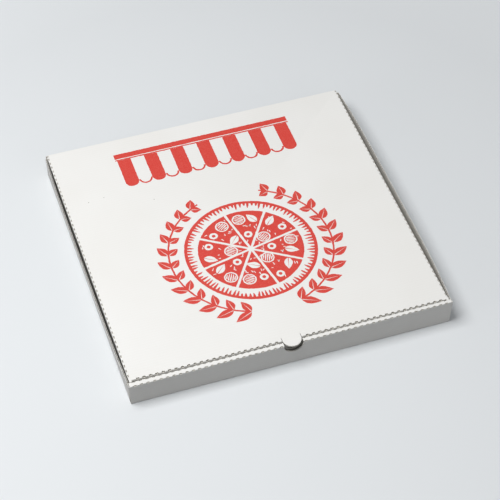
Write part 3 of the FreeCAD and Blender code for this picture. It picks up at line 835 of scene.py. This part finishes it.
# Specks
# Three dark shives, bundles of fibre that the pulping left whole, each a flat splinter about a
# millimetre long in the top liner's face.
SHIVES = ((-139.5, 81.9, 0.4), (-122.5, 84.2, 1.5), (-73.5, 64.9, 2.4))
SHIVE_RADIUS = 0.55
SHIVE_LIFT = 0.03
shive, shive_tree, shive_shader = new_material("dark_pulp_shive")
shive_place = add(shive_tree, "ShaderNodeTexCoord")
shive_grain = add(shive_tree, "ShaderNodeTexNoise", {
    "Vector": shive_place.outputs["Object"],
    "Scale": 1 / (0.3 * MM),
})
shive_mix = add(shive_tree, "ShaderNodeMix", {
    0: shive_grain.outputs[0],
    6: linear("#5E574B"),
    7: linear("#8A8274"),
}, data_type="RGBA")
shive_tree.links.new(shive_mix.outputs[2], shive_shader.inputs["Base Color"])
shive_shader.inputs["Roughness"].default_value = 0.8
specks = bmesh.new()
for x, y, turn in SHIVES:
    splinter = Matrix.Translation((x, y, LID_TOP + SHIVE_LIFT)) @ Matrix.Rotation(turn, 4, "Z")
    bmesh.ops.create_circle(specks, cap_ends=True, segments=9, radius=SHIVE_RADIUS,
                            matrix=splinter @ Matrix.Diagonal((1, 0.6, 1, 1)))
place_piece(specks, "lid_specks", "lid", (shive,))

# Print
# One red ink, printed flat on the blank before it was cut: a striped awning across the back half,
# and in front of it a pizza cut in eight between two sprigs, with the uneven edges that a rubber
# printing plate leaves on board. Shapes that cross lie on layers a few micrometres apart.
INK_LIFT = 0.04
INK_LAYER = 0.006
PLATE_DRIFT = 0.35
PLATE_GRAIN = 2.2
PIZZA_PLACE = (0, -34, 0)
ink, ink_tree, ink_shader = new_material("red_printing_ink")
_, _, ink_grain, _, ink_waves = board_relief(ink_tree, 0.4)
ink_cover = add(ink_tree, "ShaderNodeMapRange", {
    "Value": ink_grain.outputs[0],
    "From Min": 0.4,
    "From Max": 0.75,
})
ink_mix = add(ink_tree, "ShaderNodeMix", {
    0: ink_cover.outputs[0],
    6: linear("#DB3D32"),
    7: linear("#E05A4F"),
}, data_type="RGBA")
ink_tree.links.new(ink_mix.outputs[2], ink_shader.inputs["Base Color"])
ink_tree.links.new(ink_waves.outputs[0], ink_shader.inputs["Normal"])
ink_shader.inputs["Roughness"].default_value = 0.55
# Both seeds are fixed, so that every run prints the same shapes
PRINT_SEED = 8
chance = random.Random(PRINT_SEED)
noise.seed_set(PRINT_SEED)


def flat_ring(bm, outer, inner, matrix, segments=96):
    """A printed ring, or a disc when it has no inner radius."""
    disc = bmesh.ops.create_circle(bm, cap_ends=True, segments=segments, radius=outer, matrix=matrix)
    if inner:
        face = disc["verts"][0].link_faces[0]
        bmesh.ops.inset_region(bm, faces=[face], thickness=outer - inner, use_even_offset=True,
                               use_boundary=True)
        bmesh.ops.delete(bm, geom=[face], context="FACES")


def stroke(bm, length, width, matrix, taper=0.4):
    """A cut stroke: a bar that narrows to its far end."""
    bar = bmesh.ops.create_grid(bm, x_segments=6, y_segments=1, size=0.5)["verts"]
    for v in bar:
        reach = v.co.x + 0.5
        narrow = 1 - (1 - taper) * reach ** 2
        v.co = matrix @ Vector((reach * length, v.co.y * width * narrow, 0))


def leaf(bm, length, width, matrix):
    """A leaf in two halves with a bare rib between them, widest a little short of its middle."""
    for half in (-1, 1):
        blade = bmesh.ops.create_grid(bm, x_segments=12, y_segments=1, size=0.5)["verts"]
        for v in blade:
            reach = v.co.x + 0.5
            belly = width / 2 * math.sin(math.pi * reach ** 0.8) * (v.co.y + 0.5)
            v.co = matrix @ Vector((reach * length, half * (0.4 * (1 - reach) + belly), 0))


def spoke(angle, reach=0.0, turn=0.0, layer=0):
    """A place at this angle in degrees and this reach from the pizza's middle, turned on the spot."""
    out = Matrix.Rotation(math.radians(angle), 4, "Z") @ Matrix.Translation((reach, 0, layer * INK_LAYER))
    return Matrix.Translation(PIZZA_PLACE) @ out @ Matrix.Rotation(math.radians(turn), 4, "Z")


def finish_print(bm, name, paint=ink):
    """Roughens the cut of the printing plate a little and lays the shapes on the lid."""
    for v in bm.verts:
        drift = noise.noise_vector(Vector((v.co.x, v.co.y, 3)) / PLATE_GRAIN)
        v.co.x += PLATE_DRIFT * drift.x
        v.co.y += PLATE_DRIFT * drift.y
        v.co.z += LID_TOP + INK_LIFT
    bmesh.ops.recalc_face_normals(bm, faces=bm.faces)
    for face in bm.faces:
        if face.normal.z < 0:
            face.normal_flip()
    place_piece(bm, name, "lid", (paint,))


# Awning: two rails, then stripes with rounded ends, printed and bare by turns
AWNING_WIDTH = 190
AWNING_TOP = 132
AWNING_DROP = 34
RAILS = ((AWNING_TOP + 6, 7), (AWNING_TOP + 0.6, 1.6))
STRIPES = 13
SCALLOP_LINE = 1.9
stripe = AWNING_WIDTH / STRIPES
awning = bmesh.new()
for height, thick in RAILS:
    rail = bmesh.ops.create_grid(awning, x_segments=90, y_segments=1, size=0.5)["verts"]
    bmesh.ops.scale(awning, vec=(AWNING_WIDTH + 4, thick, 1), verts=rail)
    bmesh.ops.translate(awning, vec=(0, height, INK_LAYER), verts=rail)
for number in range(STRIPES):
    middle = -AWNING_WIDTH / 2 + (number + 0.5) * stripe
    end = Matrix.Translation((middle, AWNING_TOP - AWNING_DROP, 2 * INK_LAYER))
    printed = number % 2 == 0
    if printed:
        band = bmesh.ops.create_grid(awning, x_segments=6, y_segments=16, size=0.5)["verts"]
        bmesh.ops.scale(awning, vec=(stripe, AWNING_DROP, 1), verts=band)
        bmesh.ops.translate(awning, vec=(middle, AWNING_TOP - AWNING_DROP / 2 - 0.3, 0), verts=band)
    scallop = bmesh.new()
    flat_ring(scallop, stripe / 2, 0 if printed else stripe / 2 - SCALLOP_LINE, end, segments=48)
    bmesh.ops.bisect_plane(scallop, geom=scallop.verts[:] + scallop.edges[:] + scallop.faces[:], dist=1e-4,
                           plane_co=end.translation, plane_no=(0, 1, 0), clear_outer=True)
    join(awning, scallop)
finish_print(awning, "print_awning")

# Pizza: a hatched crust round eight slices of solid ink. The sliced sausage, olives and leaves on
# them are bare board, drawn in the liner's own white just above the ink.
CRUST = 68
CRUST_LINE = 3.4
HATCHES = 96
HATCH_WIDTH = 2.6
SAUCE = 54
SLICES = 8
SLICE = 360 / SLICES
FIRST_CUT = 12
CUT_WIDTH = 2.6
TOPPING_PLACES = ((43, 12.5), (42, 33), (22, 23))
OLIVE, OLIVE_HOLE = 4.4, 1.9
LEAF_LENGTH, LEAF_WIDTH = 15, 8
SAUSAGE, SAUSAGE_SKIN, SAUSAGE_FACE = 7.0, 5.6, 4.9
GRILL_ROW = 2.1
CRUMBS = 90
CRUMB_ROOM = 160
pizza = bmesh.new()
flat_ring(pizza, CRUST, CRUST - CRUST_LINE, spoke(0), segments=180)
for number in range(HATCHES):
    angle = 360 / HATCHES * number + chance.uniform(-0.5, 0.5)
    length = chance.uniform(3.4, 8.4)
    spot = spoke(angle, CRUST - 3, 180 + chance.uniform(-8, 8), 1)
    stroke(pizza, length, HATCH_WIDTH, spot, taper=0.2)
toppings = bmesh.new()
for number in range(SLICES):
    start = SLICE * number + FIRST_CUT
    wedge = bmesh.new()
    flat_ring(wedge, SAUCE, 0, spoke(0), segments=160)
    for edge_angle, way in ((math.radians(start), 1), (math.radians(start + SLICE), -1)):
        line = Vector((-math.sin(edge_angle), math.cos(edge_angle), 0)) * way
        bmesh.ops.bisect_plane(wedge, geom=wedge.verts[:] + wedge.edges[:] + wedge.faces[:], dist=1e-4,
                               plane_co=spoke(0).translation + line * CUT_WIDTH / 2, plane_no=line,
                               clear_inner=True)
    bmesh.ops.subdivide_edges(wedge, edges=[e for e in wedge.edges if e.calc_length() > 10], cuts=24)
    join(pizza, wedge)
    for kind, (reach, lean) in enumerate(TOPPING_PLACES):
        spot = spoke(start + lean + chance.uniform(-2, 2), reach + chance.uniform(-2, 2), 50 * number, 6)
        if (number + kind) % 3 == 0:
            flat_ring(toppings, OLIVE, OLIVE_HOLE, spot, segments=40)
        elif (number + kind) % 3 == 1:
            leaf(toppings, LEAF_LENGTH, LEAF_WIDTH, spot @ Matrix.Translation((-7, 0, 0)))
        else:
            flat_ring(toppings, SAUSAGE, SAUSAGE_SKIN, spot, segments=56)
            for row in range(-2, 3):
                height = GRILL_ROW * row
                chord = math.sqrt(SAUSAGE_FACE ** 2 - height ** 2)
                stroke(toppings, 2 * chord, 1.3, spot @ Matrix.Translation((-chord, height, 0)), taper=0.5)
for number in range(CRUMBS):
    angle = 360 / CRUMBS * number + chance.uniform(-2, 2)
    reach = chance.choice((32, 33, 49, 13))
    if min((angle - FIRST_CUT) % SLICE, (FIRST_CUT - angle) % SLICE) * reach > CRUMB_ROOM:
        stroke(toppings, chance.uniform(2, 4), 1.1, spoke(angle, reach, chance.uniform(0, 360), 8))
finish_print(pizza, "print_pizza")
finish_print(toppings, "print_bare_toppings", outer_liner)

# Sprigs: a stem along an arc on each side, with leaves in pairs that grow smaller to its tip
STEM_REACH = 84
STEM_WIDTH = 1.9
JOINTS = 23
JOINT_TURN = 6
FIRST_JOINT = -72
sprigs = bmesh.new()
for side in (-1, 1):
    mirror = Matrix.Diagonal((side, 1, 1, 1))
    for number in range(JOINTS):
        angle = FIRST_JOINT + JOINT_TURN * number
        stroke(sprigs, 9.8, STEM_WIDTH, mirror @ spoke(angle, STEM_REACH, 93, number % 2), taper=1)
        if number % 2 == 0:
            size = 20 - 0.3 * number
            leaf(sprigs, size, 9, mirror @ spoke(angle, STEM_REACH + 0.6, 48, 2))
            leaf(sprigs, size * 0.8, 8, mirror @ spoke(angle, STEM_REACH - 0.6, 138, 3))
finish_print(sprigs, "print_sprigs")
